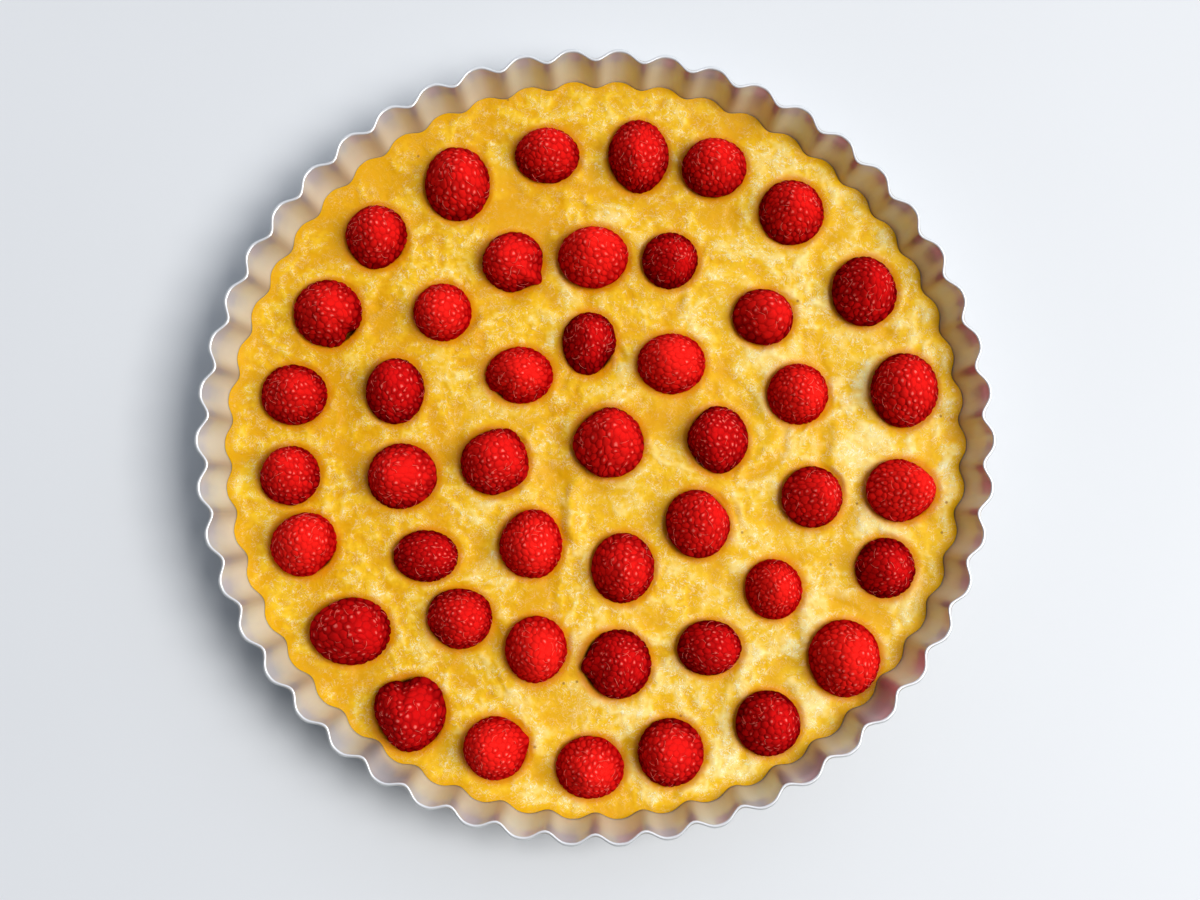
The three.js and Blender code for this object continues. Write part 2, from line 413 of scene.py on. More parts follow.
# Where the grain shows: on high lumps, with a share of the swirl that they lie on
COARSE_SWIRL = 0.5
COARSE_HEIGHTS = (-0.9, 0.5)
# Painted shade along the wall: there the batter is painted less pale and more amber
WALL_SHADE_LESS_PALE = 0.7
WALL_SHADE_AMBER = 0.8
WALL_SHADE_CURVE = 1.5
BATTER_TONES = [(0.12, (0.75, 0.375, 0.0)), (0.45, (0.87, 0.545, 0.015)), (0.9, (0.95, 0.81, 0.34))]
# The grain colour is partly pale almond, partly painted glints
FILLING_GRAIN_AND_GLINT = (1.0, 0.96, 0.68)
FILLING_AMBER = (0.75, 0.38, 0.0)
# Partly raspberry juice, partly painted contact shade and painted red glow from the berries
FILLING_JUICE_AND_SHADE = (0.76, 0.26, 0.0)
FILLING_SPECK = (0.30, 0.11, 0.02)
# How many crumbs, curled grains, breaks in them, skin specks and glints there are to the metre
FINE_CRUMBS = 620.0
CURLED_GRAINS = 480.0
GRAIN_BREAKS = 330.0
SKIN_SPECKS = 95.0
GLINTS = 1300.0
# The values between which nearly all of a noise lies, and most of it
NEARLY_ALL_NOISE = (0.3, 0.7)
MOST_NOISE = (0.35, 0.65)
CRUMB_TONES = (-0.08, 0.08)
GRAIN_LINE = (0.01, 0.05)
GRAIN_BREAK_EDGE = (0.42, 0.54)
GRAINS_SHOW_FOR = (0, 0.7)
GRAINS_SHOWING = (0.1, 0.85)
SPECK_EDGE = (0.03, 0.06)
SPECK_STRENGTH = 0.7
SPECK_RARITY = 0.86
FILLING_ROUGHNESS = (0.28, 0.48)
# The relief of the grains and crumbs, and of the wet film, from yellow batter to amber
BATTER_RELIEF = (0.5, 0.1)
FILM_RELIEF = (1.0, 0.5)
GRAIN_DEPTH = 0.35 * MM
CRUMB_DEPTH = 0.5 * MM
FILM_DEPTH = 0.8 * MM
FILLING_SURFACE = {
    "Specular IOR Level": 0.05,
    "Coat Weight": 0.18,
    "Coat Roughness": 0.08,
    "Coat IOR": 1.55,
    "Subsurface Weight": 0.35,
    "Subsurface Radius": (1.0, 0.7, 0.15),
    "Subsurface Scale": 1.0 * MM,
}


def lumps(x, y, apart, seed):
    """Smooth lumps from -1 to 1, about that far apart."""
    lattice = np.random.default_rng(seed).uniform(-1, 1, (LATTICE, LATTICE))
    u = x / apart + MIDDLE_CELL
    v = y / apart + MIDDLE_CELL
    i = np.floor(u).astype(int)
    j = np.floor(v).astype(int)
    across = ease(u - i, 0, 1)
    up = ease(v - j, 0, 1)
    low = lattice[i, j] * (1 - across) + lattice[i + 1, j] * across
    high = lattice[i, j + 1] * (1 - across) + lattice[i + 1, j + 1] * across
    return low * (1 - up) + high * up


def berry_clearance(x, y):
    """How far each point is outside the nearest berry's outline, negative inside it."""
    nearest = np.full(x.shape, RIM_RADIUS)
    for node in BERRY_NODES:
        low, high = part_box(node)
        centre = (low + high) / 2
        half = (high - low) / 2
        reach = np.hypot((x - centre.x) / half.x, (y - centre.y) / half.y)
        nearest = np.minimum(nearest, (reach - 1) * (half.x + half.y) / 2)
    return nearest


def fold_distance(x, y, path):
    """How far each point is from a fold's crest, positive on its right-hand side, and how
    much of the fold is left there: it fades at both ends."""
    nearest = np.full(x.shape, RIM_RADIUS)
    side = np.ones(x.shape)
    progress = np.zeros(x.shape)
    for number, ((ax, ay), (bx, by)) in enumerate(zip(path, path[1:])):
        along_x, along_y = (bx - ax) * MM, (by - ay) * MM
        from_x, from_y = x - ax * MM, y - ay * MM
        share = (from_x * along_x + from_y * along_y) / (along_x ** 2 + along_y ** 2)
        share = np.clip(share, 0, 1)
        distance = np.hypot(from_x - share * along_x, from_y - share * along_y)
        closer = distance < nearest
        side = np.where(closer, np.sign(from_x * along_y - from_y * along_x), side)
        progress = np.where(closer, (number + share) / (len(path) - 1), progress)
        nearest = np.where(closer, distance, nearest)
    return nearest * side, ease(np.minimum(progress, 1 - progress), 0, FOLD_FADE)


def ridged(x, y, apart, seed):
    """Short curved ridges up to a height of 1, about that far apart."""
    return 1 - RIDGE_SHARPNESS * np.abs(lumps(x, y, apart, seed))


def pressed_hollows(x, y):
    """How deep each point is in a smooth hollow, from 0 to 1. Most of the hollows are where
    a berry was pushed in sideways."""
    rng = np.random.default_rng(PRESSED_SEED)
    places = [(hx * MM, hy * MM, radius * MM) for hx, hy, radius in HOLLOWS]
    for node in BERRY_NODES:
        low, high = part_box(node)
        turn = rng.uniform(*PRESSED_TURN)
        reach = (high.x - low.x) / 2 + rng.uniform(*PRESSED_BEYOND) * MM
        places.append(((low.x + high.x) / 2 + reach * math.cos(turn),
                       (low.y + high.y) / 2 + reach * math.sin(turn),
                       rng.uniform(*PRESSED_SHARE) * PRESSED_REACH * MM))
    deepest = np.zeros(x.shape)
    for hx, hy, radius in places:
        deepest = np.maximum(deepest, np.exp(-((x - hx) ** 2 + (y - hy) ** 2) / radius ** 2))
    return deepest


def spoon_swells(x, y):
    """The broad marks that the solid has too."""
    bent = SWELL_BEND * np.sin(y / SWELL_BEND_REACH)
    across = np.cos(y / SWELL_REACH[1] - x / SWELL_SKEW_REACH)
    return SWELL * np.sin(x / SWELL_REACH[0] + bent) * across


def wandering(axis, x, y):
    """The x (axis 0) or the y (axis 1) of each point, moved about so that the marks curl."""
    moved = (x, y)[axis]
    for reach, apart, seeds in WANDER:
        moved = moved + reach * lumps(x, y, apart, seeds[axis])
    return moved


def folded(x, y, height, hollow):
    """The height in mm and the share of hollow, with the spoon's folds added."""
    for fold_height, breadth, path in FOLDS:
        distance, left = fold_distance(x, y, path)
        crest = left * np.exp(-(distance / MM / (CREST_BREADTH * breadth)) ** 2)
        off_channel = (distance / MM - CHANNEL_PLACE * breadth) / (CHANNEL_BREADTH * breadth)
        channel = left * np.exp(-off_channel ** 2)
        height = height + fold_height * (crest - CHANNEL_DEPTH * channel)
        hollow = np.clip(hollow * (1 - crest) + CHANNEL_HOLLOW * channel, 0, 1)
    return height, hollow


def filling_top(x, y):
    """The height of the top, and the shares of smooth amber hollow with a ring of painted
    shade round each berry, of pale grain, and of juice stain with painted shade and painted
    red glow round the berries."""
    bent_x, bent_y = wandering(0, x, y), wandering(1, x, y)
    swirl = lumps(bent_x, SWIRL_STRETCH * bent_y, *SWIRLS[0])
    swirl = swirl + FINER_SHARE * lumps(bent_x, bent_y, *SWIRLS[1])
    lump = lumps(bent_x, bent_y, *LUMPS[0]) + FINER_SHARE * lumps(bent_x, bent_y, *LUMPS[1])
    grain = RIDGE_SHARE * ridged(bent_x, bent_y, *RIDGES) + CRUMB_SHARE * lumps(x, y, *CRUMBS)
    pressed = pressed_hollows(bent_x, bent_y)
    height = SWIRL_HEIGHT * swirl + LUMP_HEIGHT * lump - HOLLOW_DEPTH * pressed
    hollow = np.clip(ease(-swirl, *LOW_SWIRLS) + pressed, 0, 1)
    height, hollow = folded(bent_x, bent_y, height, hollow)
    coarse = (1 - HOLLOW_SMOOTHNESS * hollow) * ease(lump + COARSE_SWIRL * swirl, *COARSE_HEIGHTS)
    height = height + GRAIN_HEIGHT * coarse * grain
    outside = berry_clearance(x, y)
    near = ease(-outside, *DENT_SIDE)
    height = height * MM * (1 - DENT_SMOOTHNESS * near) - DENT_DEPTH * near
    height = height + FILLING_LEVEL + spoon_swells(x, y)
    height = height + ease(-outside, *SOCKET_SIDE) * (SOCKET_FLOOR - height)
    # The amber of the hollows, with a ring of painted shade round each berry
    amber = HOLLOW_AMBER * np.maximum(hollow, SHADE_RING_SHARE * ease(-outside, *SHADE_RING_SIDE))
    # Juice stain round each berry, partly painted contact shade and painted red glow
    juice_and_shade = JUICE_AND_SHADE_STRENGTH * ease(-outside, *JUICE_AND_SHADE_SIDE)
    side = PALER_SIDE * (PALER_TOWARDS[0] * x + PALER_TOWARDS[1] * y) / RIM_RADIUS
    pale = PALENESS + side + PALER_SWIRL * swirl + PALER_LUMP * lump
    pale = pale + coarse * (PALER_COARSE + PALER_GRAIN * grain)
    return height, amber, np.clip(pale, 0, 1), juice_and_shade


def points_inside(ring):
    """How many of a disc's points lie inside that ring of it."""
    return (ring > 0) * (1 + 3 * ring * (ring - 1))


def disc_places(rings):
    """Where the points of a disc lie, as a share of its radius and an angle, ring by ring
    with six more points in each."""
    ring = np.repeat(np.arange(rings + 1), [1] + [6 * r for r in range(1, rings + 1)])
    step = np.arange(len(ring)) - points_inside(ring)
    return ring / rings, step / np.maximum(1, 6 * ring) * math.tau


def disc_faces(rings):
    """The triangles between the rings of that disc."""
    faces = []
    for ring in range(rings):
        inner_count = max(1, 6 * ring)
        outer_count = 6 * (ring + 1)
        side, step = np.divmod(np.arange(outer_count), ring + 1)
        near = points_inside(ring) + (side * ring + step) % inner_count
        near_next = points_inside(ring) + (side * ring + step + 1) % inner_count
        far = points_inside(ring + 1) + np.arange(outer_count)
        far_next = points_inside(ring + 1) + (np.arange(outer_count) + 1) % outer_count
        faces += np.stack([far, far_next, near], 1).tolist()
        faces += np.stack([near, far_next, near_next], 1)[step < ring].tolist()
    return faces


def filling_mesh():
    """The top as a disc, then the fluted side and the flat underside."""
    share, angle = disc_places(TOP_RINGS)
    rim = crest_radius(EDGE_HEIGHT) - WALL_GAP
    at_wall = fluted(rim, EDGE_HEIGHT, angle)
    radius = share * (rim + share ** FLUTES_FADE_INWARD * (at_wall - rim))
    x, y = radius * np.cos(angle), radius * np.sin(angle)
    height, amber, pale, juice_and_shade = filling_top(x, y)
    to_wall = np.clip((radius - at_wall + SHOULDER) / SHOULDER, 0, 1)
    # Painted shade along the wall, less pale and more amber towards it
    pale = pale * (1 - WALL_SHADE_LESS_PALE * to_wall)
    amber = np.maximum(amber, WALL_SHADE_AMBER * to_wall ** WALL_SHADE_CURVE)
    height = height + to_wall ** SHOULDER_CURVE * (EDGE_HEIGHT - height)
    points = [np.stack([x, y, height], 1)]
    faces = disc_faces(TOP_RINGS)
    columns = 6 * TOP_RINGS
    around = angle[-columns:]
    start = len(x) - columns
    for z in np.linspace(EDGE_HEIGHT, SHEET + WALL_GAP, SIDE_RINGS)[1:]:
        side = fluted(crest_radius(z) - WALL_GAP, z, around)
        points.append(ring_points(side, z, around))
        faces += band_faces(start + columns, start, columns)
        start += columns
    points.append(np.array([[0, 0, SHEET + WALL_GAP]]))
    faces += fan_faces(start + columns, start, columns, upward=False)
    points = np.concatenate(points)
    hidden = np.zeros(len(points) - len(x))
    return points, faces, [np.concatenate([share, hidden]) for share in (amber, pale, juice_and_shade)]


def grains_and_painted_glints(add, place):
    """Thin curled grains of almond, broken here and there: pale almond, and partly painted glints."""
    curls = noise(add, place, CURLED_GRAINS, Detail=1.0, Distortion=1.5)
    off_line = maths(add, "ABSOLUTE", maths(add, "SUBTRACT", curls, 0.5))
    line = scaled(add, off_line, GRAIN_LINE, (1, 0))
    whole = scaled(add, noise(add, place, GRAIN_BREAKS), GRAIN_BREAK_EDGE, (0, 1))
    return maths(add, "MULTIPLY", line, whole)


def skin_specks(add, place):
    """A few brown specks of almond skin."""
    spots = add("ShaderNodeTexVoronoi", {"Vector": place, "Scale": SKIN_SPECKS},
                voronoi_dimensions="2D")
    dark = scaled(add, spots.outputs["Distance"], SPECK_EDGE, (SPECK_STRENGTH, 0))
    rare = maths(add, "GREATER_THAN", spots.outputs["Color"], SPECK_RARITY)
    return maths(add, "MULTIPLY", dark, rare)


def almond_filling():
    """Raw batter: yellow and slightly see-through, pale where it is grainy, its pale grains
    partly painted glints, smooth and amber in the hollows, with painted shade along the
    wall, juice stain and painted shade round the berries, wet glints and a few brown specks
    of almond skin."""
    material, shader, add, link = new_finish("almond_filling", FILLING_SURFACE)
    place = add("ShaderNodeTexCoord").outputs["Object"]
    amber, pale, juice_and_shade = (attribute(add, name) for name in ("amber", "pale", "juice_and_shade"))
    crumb = noise(add, place, FINE_CRUMBS, Detail=3.0, Roughness=0.55)
    grains_and_glints = grains_and_painted_glints(add, place)
    paler = maths(add, "ADD", pale, scaled(add, crumb, NEARLY_ALL_NOISE, CRUMB_TONES))
    batter = colour_ramp(add, paler, BATTER_TONES)
    showing = scaled(add, pale, GRAINS_SHOW_FOR, GRAINS_SHOWING)
    # Pale almond grains, partly painted glints
    batter = blend(add, maths(add, "MULTIPLY", grains_and_glints, showing), batter, FILLING_GRAIN_AND_GLINT)
    batter = blend(add, amber, batter, FILLING_AMBER)
    # Juice stain round the berries, partly painted shade and painted red glow
    batter = blend(add, juice_and_shade, batter, FILLING_JUICE_AND_SHADE)
    batter = blend(add, skin_specks(add, place), batter, FILLING_SPECK)
    link(batter, shader.inputs["Base Color"])
    link(scaled(add, crumb, MOST_NOISE, FILLING_ROUGHNESS), shader.inputs["Roughness"])
    rugged = scaled(add, amber, (0, 1), BATTER_RELIEF)
    raised = relief(add, grains_and_glints, GRAIN_DEPTH, rugged)
    fine = relief(add, crumb, CRUMB_DEPTH, rugged, Normal=raised)
    link(fine, shader.inputs["Normal"])
    filmy = scaled(add, amber, (0, 1), FILM_RELIEF)
    wet = relief(add, noise(add, place, GLINTS), FILM_DEPTH, filmy, Normal=fine)
    link(wet, shader.inputs["Coat Normal"])
    return material


points, faces, shares = filling_mesh()
filling = add_piece("almond_filling", points, faces, almond_filling(), ["filling"])
edge_points = range(points_inside(TOP_RINGS), points_inside(TOP_RINGS + 1))
for edge in filling.data.edges:
    edge.use_edge_sharp = all(point in edge_points for point in edge.vertices)
for name, share in zip(("amber", "pale", "juice_and_shade"), shares):
    store(filling, name, share)


# ---- The raspberries ----
# Whole fresh raspberries, each a blunt thimble of about a hundred and fifty small juicy
# drupelets in staggered rings. No two are alike, and many lean a little.

# The slope of an upright berry's tip, in degrees
LEAN_RANGE = (3, 12)
WIDEST_AT = 0.3
FLANK_TAPER = (0.46, 0.68)
TIP_BLUNTNESS = 4
FOOT_SQUARENESS = 0.3
TALLNESS = 2.0
LOWEST_RING = math.radians(106)
PROFILE_STEPS = 200
# How far apart the drupelets are, as a share of the berry's radius, and a berry whose
# drupelets are large
PITCH_RANGE = (0.22, 0.26)
COARSE_PITCH = {"middle_04": 0.34}
# How many pitches the first ring is from the tip, and the fewest drupelets in a ring
FIRST_RING = 0.6
LEAST_IN_RING = 4
# The rings that the batter hides: degrees from the tip, and how many drupelets
HIDDEN_RINGS = [(118, 13), (140, 8), (165, 3)]
SCATTER = 0.045
DRUPELET_HEIGHT = 0.042
DRUPELET_LIFT = (0.75, 1.25)
DRUPELET_STEPS = (0.38, 0.68, 0.88, 1.0)
# How far the lines to a drupelet's corners are drawn in, which makes it round
CORNER_PULL = 0.134
CORNER_PULL_CURVE = 3
# The heights between which the painted shade of the foot, a deeper red, fades out
FOOT_SHADE = (FILLING_LEVEL - 1 * MM, FILLING_LEVEL + 13 * MM)
BERRY_SEED = 500
# The small bulges of every berry: how many, share of the radius, and breadth in degrees
BULGES = 4
BULGE_SHARE = (-0.035, 0.035)
BULGE_BREADTH = (25, 50)
# The least regular berries: direction in degrees, share of the radius, and breadth in
# degrees of each bulge or notch
MISSHAPEN = {
    "outer_02": [(90, 0.06, 50), (225, -0.10, 35), (315, -0.07, 35)],
    "outer_07": [(0, 0.10, 30), (60, -0.06, 30), (300, -0.06, 30)],
    "outer_13": [(15, 0.09, 10), (345, -0.04, 20)],
    "outer_14": [(98, -0.18, 15), (145, 0.06, 25), (50, 0.06, 25), (215, -0.12, 35),
                 (310, -0.06, 30)],
    "outer_15": [(180, 0.10, 40), (120, -0.05, 30)],
    "outer_16": [(315, -0.12, 25), (50, 0.07, 35), (135, -0.06, 30)],
    "outer_19": [(315, -0.20, 14), (285, 0.05, 20)],
    "outer_20": [(265, 0.05, 25), (325, -0.07, 30), (215, -0.05, 30)],
    "middle_01": [(322, 0.17, 12), (350, -0.06, 16), (295, -0.05, 16)],
    "middle_09": [(185, 0.17, 12), (215, -0.05, 20), (150, -0.04, 20)],
    "middle_11": [(135, 0.04, 20), (40, 0.04, 20), (225, -0.06, 25), (320, 0.03, 20)],
    "middle_13": [(20, 0.05, 40), (250, -0.04, 40)],
    "inner_03": [(95, 0.05, 30), (175, 0.06, 30), (280, 0.06, 25), (225, -0.08, 30),
                 (135, -0.06, 25)],
    "inner_01": [(318, -0.14, 18), (45, 0.05, 30), (250, 0.04, 25)],
    "inner_04": [(45, -0.11, 25), (290, 0.04, 30), (220, -0.04, 20)],
    "inner_06": [(135, -0.10, 35), (60, 0.05, 22), (300, 0.03, 25)],
    "inner_07": [(60, 0.08, 18), (115, -0.07, 25), (335, 0.05, 20), (295, -0.06, 20)],
    "inner_08": [(228, -0.11, 12), (180, 0.04, 25)],
    "centre": [(130, -0.06, 25), (280, -0.05, 30), (85, 0.04, 20), (180, 0.04, 25),
               (230, -0.04, 20)],
}
# Those whose tips lean most: direction and slope in degrees
LEANING = {"outer_07": (5, 17), "outer_15": (340, 14), "middle_01": (200, 12), "middle_12": (0, 14)}
BRIGHT = ["outer_07", "outer_09", "outer_12", "outer_13", "outer_16", "middle_02", "middle_05",
          "middle_07", "middle_10", "middle_15", "inner_02", "inner_06", "inner_08"]
DEEP = ["outer_05", "outer_08", "outer_10", "outer_14", "outer_15", "middle_03", "middle_08",
        "middle_09", "middle_12", "middle_14", "inner_01", "inner_03"]
# Each tint of flesh, from the lightest drupelets to the deepest grooves
FLESH = {
    "bright": [(0.25, (0.86, 0.014, 0.010)), (1.0, (0.28, 0.0, 0.001))],
    "middling": [(0.25, (0.74, 0.010, 0.008)), (1.0, (0.16, 0.0, 0.001))],
    "deep": [(0.25, (0.60, 0.006, 0.006)), (1.0, (0.12, 0.0, 0.001))],
}
# How much deeper the red is: painted shade in a groove, the darkest drupelets' own tone,
# and painted shade at the foot
DEEPER_GROOVE_SHADE = 0.32
DEEPER_SHADE = 0.3
DEEPER_FOOT_SHADE = 0.65
# The painted highlight at the middle of a drupelet: its colour and strength, where its edge
# is on the way to the groove and how ragged, how many drupelets go without, and where it
# fades low down
DRUPELET_HIGHLIGHT = (1.0, 0.27, 0.22)
HIGHLIGHT_STRENGTH = 0.62
HIGHLIGHT_EDGE = (0.07, 0.22)
HIGHLIGHT_RAGGEDNESS = 0.10
HIGHLIGHTLESS_SHARE = 0.5
HIGHLIGHTS_FADE_AT_FOOT = (0.1, 0.6)
BLOOM = 260.0
BLOOM_DEPTH = 0.2 * MM
BLOOM_STRENGTH = 0.25
FLESH_ROUGHNESS = (0.2, 0.4)
FLESH_SURFACE = {
    "Specular IOR Level": 0.0,
    "Subsurface Weight": 0.2,
    "Subsurface Radius": (1.0, 0.12, 0.08),
    "Subsurface Scale": 0.8 * MM,
}


def on_sphere(vectors):
    """Those vectors, each made one long."""
    return vectors / np.linalg.norm(vectors, axis=1, keepdims=True)


def thimble_profile(up, taper):
    """The radius and height, each as a share of its most, of a smooth raspberry: a blunt
    cone over a rounder foot. Up is the height of the same place on a ball."""
    above = np.clip(up, 0, 1)
    cone = (1 - taper * above) * np.sqrt(1 - above ** TIP_BLUNTNESS)
    foot = np.maximum(1 - up ** 2, 0) ** (FOOT_SQUARENESS / 2)
    height = WIDEST_AT + np.where(up > 0, 1 - WIDEST_AT, WIDEST_AT) * up
    return np.where(up > 0, cone, foot), height


def drupelet_directions(rng, taper, pitch):
    """Unit directions of the drupelets, in even rings down from the tip, that pitch apart."""
    downs = np.linspace(0, LOWEST_RING, PROFILE_STEPS)
    radius, height = thimble_profile(np.cos(downs), taper)
    steps = np.hypot(np.diff(radius), TALLNESS * np.diff(height))
    travelled = np.concatenate([[0], np.cumsum(steps)])
    ring_places = np.arange(FIRST_RING, travelled[-1] / pitch) * pitch
    rings = [(np.interp(place, travelled, downs), np.interp(place, travelled, radius))
             for place in ring_places]
    rings = [(down, max(LEAST_IN_RING, round(math.tau * out / pitch))) for down, out in rings]
    rings += [(math.radians(down), count) for down, count in HIDDEN_RINGS]
    directions = []
    for down, count in rings:
        turn = rng.uniform(0, 1)
        for number in range(count):
            angle = (number + turn) / count * math.tau
            out = math.sin(down)
            directions.append((out * math.cos(angle), out * math.sin(angle), math.cos(down)))
    directions = np.array(directions)
    return on_sphere(directions + rng.normal(0, SCATTER, directions.shape))


def hull_triangles(directions):
    """Which drupelets meet by threes, each listed anticlockwise from outside."""
    ball = bmesh.new()
    for direction in directions:
        ball.verts.new(direction)
    ball.verts.index_update()
    bmesh.ops.convex_hull(ball, input=list(ball.verts))
    bmesh.ops.triangulate(ball, faces=list(ball.faces))
    triangles = []
    for face in ball.faces:
        a, b, c = (vert.index for vert in face.verts)
        sides = np.cross(directions[b] - directions[a], directions[c] - directions[a])
        triangles.append((a, b, c) if np.dot(sides, directions[a]) > 0 else (a, c, b))
    ball.free()
    return np.array(triangles)


class DrupeletSkin:
    """A ball of domes: where each point lies on the ball, how far its dome lifts it, how
    near the groove it is, and which drupelet it is on."""

    def __init__(self, rng, taper, pitch):
        self.centres = drupelet_directions(rng, taper, pitch)
        self.lift = rng.uniform(*DRUPELET_LIFT, len(self.centres))
        self.places, self.lifts, self.grooves, self.owners = [], [], [], []
        self.total = 0
        self.add(self.centres, self.lift, 0.0, np.arange(len(self.centres)))

    def add(self, places, lifts, groove, owners):
        """Keeps these points and returns their numbers."""
        self.places.append(places)
        self.lifts.append(lifts + np.zeros(len(places)))
        self.grooves.append(groove + np.zeros(len(places)))
        self.owners.append(owners)
        self.total += len(places)
        return np.arange(self.total - len(places), self.total)

    def spokes(self, owners, ends, end_numbers, pull):
        """Points on lines from drupelet centres to their rims, a row of numbers each."""
        start = self.centres[owners]
        numbers = []
        for step in DRUPELET_STEPS[:-1]:
            share = step * (1 - pull * (1 - step ** CORNER_PULL_CURVE))
            dome = self.lift[owners] * math.sqrt(1 - step ** 2)
            numbers.append(self.add(on_sphere(start + share * (ends - start)), dome, step ** 2, owners))
        return np.stack(numbers + [end_numbers], 1)

    def build(self):
        """The rims and domes, and the faces between them."""
        triangles = hull_triangles(self.centres)
        pairs = np.sort(np.concatenate([triangles[:, [0, 1]], triangles[:, [1, 2]],
                                        triangles[:, [2, 0]]]), 1)
        edges, edge_of = np.unique(pairs, axis=0, return_inverse=True)
        edge_of = edge_of.reshape(3, -1)
        middles = on_sphere(self.centres[edges].sum(1))
        corners = on_sphere(self.centres[triangles].sum(1))
        middle_numbers = self.add(middles, 0.0, 1.0, edges[:, 0])
        corner_numbers = self.add(corners, 0.0, 1.0, triangles[:, 0])
        to_middle = [self.spokes(edges[:, end], middles, middle_numbers, 0.0) for end in (0, 1)]
        faces = []
        for i in range(3):
            here = triangles[:, i]
            to_corner = self.spokes(here, corners, corner_numbers, CORNER_PULL)
            after, before = edge_of[i], edge_of[i - 1]
            rows = [np.where((edges[edge, 0] == here)[:, None], to_middle[0][edge], to_middle[1][edge])
                    for edge in (after, before)]
            for left, right in ((rows[0], to_corner), (to_corner, rows[1])):
                faces += np.stack([here, left[:, 0], right[:, 0]], 1).tolist()
                for step in range(len(DRUPELET_STEPS) - 1):
                    faces += np.stack([left[:, step], left[:, step + 1], right[:, step + 1],
                                       right[:, step]], 1).tolist()
        return faces


def thimble(directions, bulges, taper):
    """Where directions from the middle lie on a raspberry of height and radius 1."""
    up = directions[:, 2]
    out = np.sqrt(np.maximum(1 - up ** 2, 0))
    radius, height = thimble_profile(up, taper)
    angle = np.arctan2(directions[:, 1], directions[:, 0])
    for towards, share, breadth in bulges:
        turned = (np.degrees(angle) - towards + 180) % 360 - 180
        radius = radius * (1 + share * out * np.exp(-(turned / breadth) ** 2))
    return np.stack([radius * np.cos(angle), radius * np.sin(angle), height], 1)


def raspberry_mesh(berry, low, high, rng):
    """The drupelets wrapped on the thimble, tilted, and fitted to the berry's own box."""
    taper = rng.uniform(*FLANK_TAPER)
    pitch = COARSE_PITCH.get(berry) or rng.uniform(*PITCH_RANGE)
    skin = DrupeletSkin(rng, taper, pitch)
    faces = skin.build()
    places, lifts = np.concatenate(skin.places), np.concatenate(skin.lifts)
    uneven = [(rng.uniform(0, 360), rng.uniform(*BULGE_SHARE), rng.uniform(*BULGE_BREADTH))
              for _ in range(BULGES)]
    half_width = (high - low)[:2].mean() / 2
    points = thimble(places, MISSHAPEN.get(berry, []) + uneven, taper)
    points *= (half_width, half_width, high[2] - low[2])
    points += places * (lifts * DRUPELET_HEIGHT * half_width)[:, None]
    towards, lean = LEANING.get(berry, (rng.uniform(0, 360), rng.uniform(*LEAN_RANGE)))
    across = math.radians(towards + 90)
    tilt = Matrix.Rotation(math.radians(lean), 3, Vector((math.cos(across), math.sin(across), 0)))
    points = points @ np.array(tilt).T
    least, most = points.min(0), points.max(0)
    points = low + (points - least) / (most - least) * (high - low)
    shade = rng.uniform(0, 1, len(skin.centres))[np.concatenate(skin.owners)]
    foot = 1 - ease(points[:, 2], *FOOT_SHADE)
    return points, faces, {"groove": np.concatenate(skin.grooves), "shade": shade, "foot": foot}


def raspberry_flesh(tint):
    """Juicy flesh, lit from within, with a dull skin: deeper red from painted shade in the
    grooves and low on the berry, and paler at the middle of some drupelets from painted
    highlights."""
    material, shader, add, link = new_finish(f"raspberry_flesh_{tint}", FLESH_SURFACE)
    place = add("ShaderNodeTexCoord").outputs["Object"]
    groove, shade, foot = (attribute(add, name) for name in ("groove", "shade", "foot"))
    bloom = noise(add, place, BLOOM, Detail=3.0)
    # Painted shade in the grooves and at the foot, and the drupelets' own random tones
    depth = maths(add, "MULTIPLY", groove, DEEPER_GROOVE_SHADE)
    depth = maths(add, "MULTIPLY_ADD", shade, DEEPER_SHADE, depth)
    depth = maths(add, "MULTIPLY_ADD", foot, DEEPER_FOOT_SHADE, depth)
    red = colour_ramp(add, depth, FLESH[tint])
    # Painted highlights: pale spots at the middle of some drupelets
    ragged = maths(add, "MULTIPLY_ADD", bloom, HIGHLIGHT_RAGGEDNESS, groove)
    highlights = scaled(add, ragged, HIGHLIGHT_EDGE, (HIGHLIGHT_STRENGTH, 0))
    highlights = maths(add, "MULTIPLY", highlights, maths(add, "GREATER_THAN", shade, HIGHLIGHTLESS_SHARE))
    highlights = maths(add, "MULTIPLY", highlights, scaled(add, foot, HIGHLIGHTS_FADE_AT_FOOT, (1, 0)))
    link(blend(add, highlights, red, DRUPELET_HIGHLIGHT), shader.inputs["Base Color"])
    link(scaled(add, bloom, MOST_NOISE, FLESH_ROUGHNESS), shader.inputs["Roughness"])
    link(relief(add, bloom, BLOOM_DEPTH, BLOOM_STRENGTH), shader.inputs["Normal"])
    return material


flesh = {tint: raspberry_flesh(tint) for tint in FLESH}
berry_skins = []
for number, node in enumerate(BERRY_NODES):
    berry = node.removeprefix("raspberry_")
    tint = "bright" if berry in BRIGHT else "deep" if berry in DEEP else "middling"
    low, high = (np.array(corner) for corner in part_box(node))
    rng = np.random.default_rng(BERRY_SEED + number)
    points, faces, shares = raspberry_mesh(berry, low, high, rng)
    piece = add_piece(f"berry_{berry}", points, faces, flesh[tint], [node])
    for name, share in shares.items():
        store(piece, name, share)
    berry_skins.append((points, shares["groove"]))


# ---- The hairs of the raspberries ----
# The dry styles of the flower: a thin, curly, pinkish-white thread from some of the
# drupelets, lying over its neighbours.

HAIRS_PER_BERRY = 28
HAIR_SEED = 77
HAIR_LENGTH = (1.8 * MM, 3.8 * MM)
HAIR_RADIUS = 0.075 * MM
HAIR_THINNING = 0.5
HAIR_CURL = 1.6
# How steeply a hair leaves the skin, and the angle in radians through which it bows
HAIR_RISE = 0.55
HAIR_BOW = 2.4
HAIR_STEPS = 5
HAIR_SIDES = 3
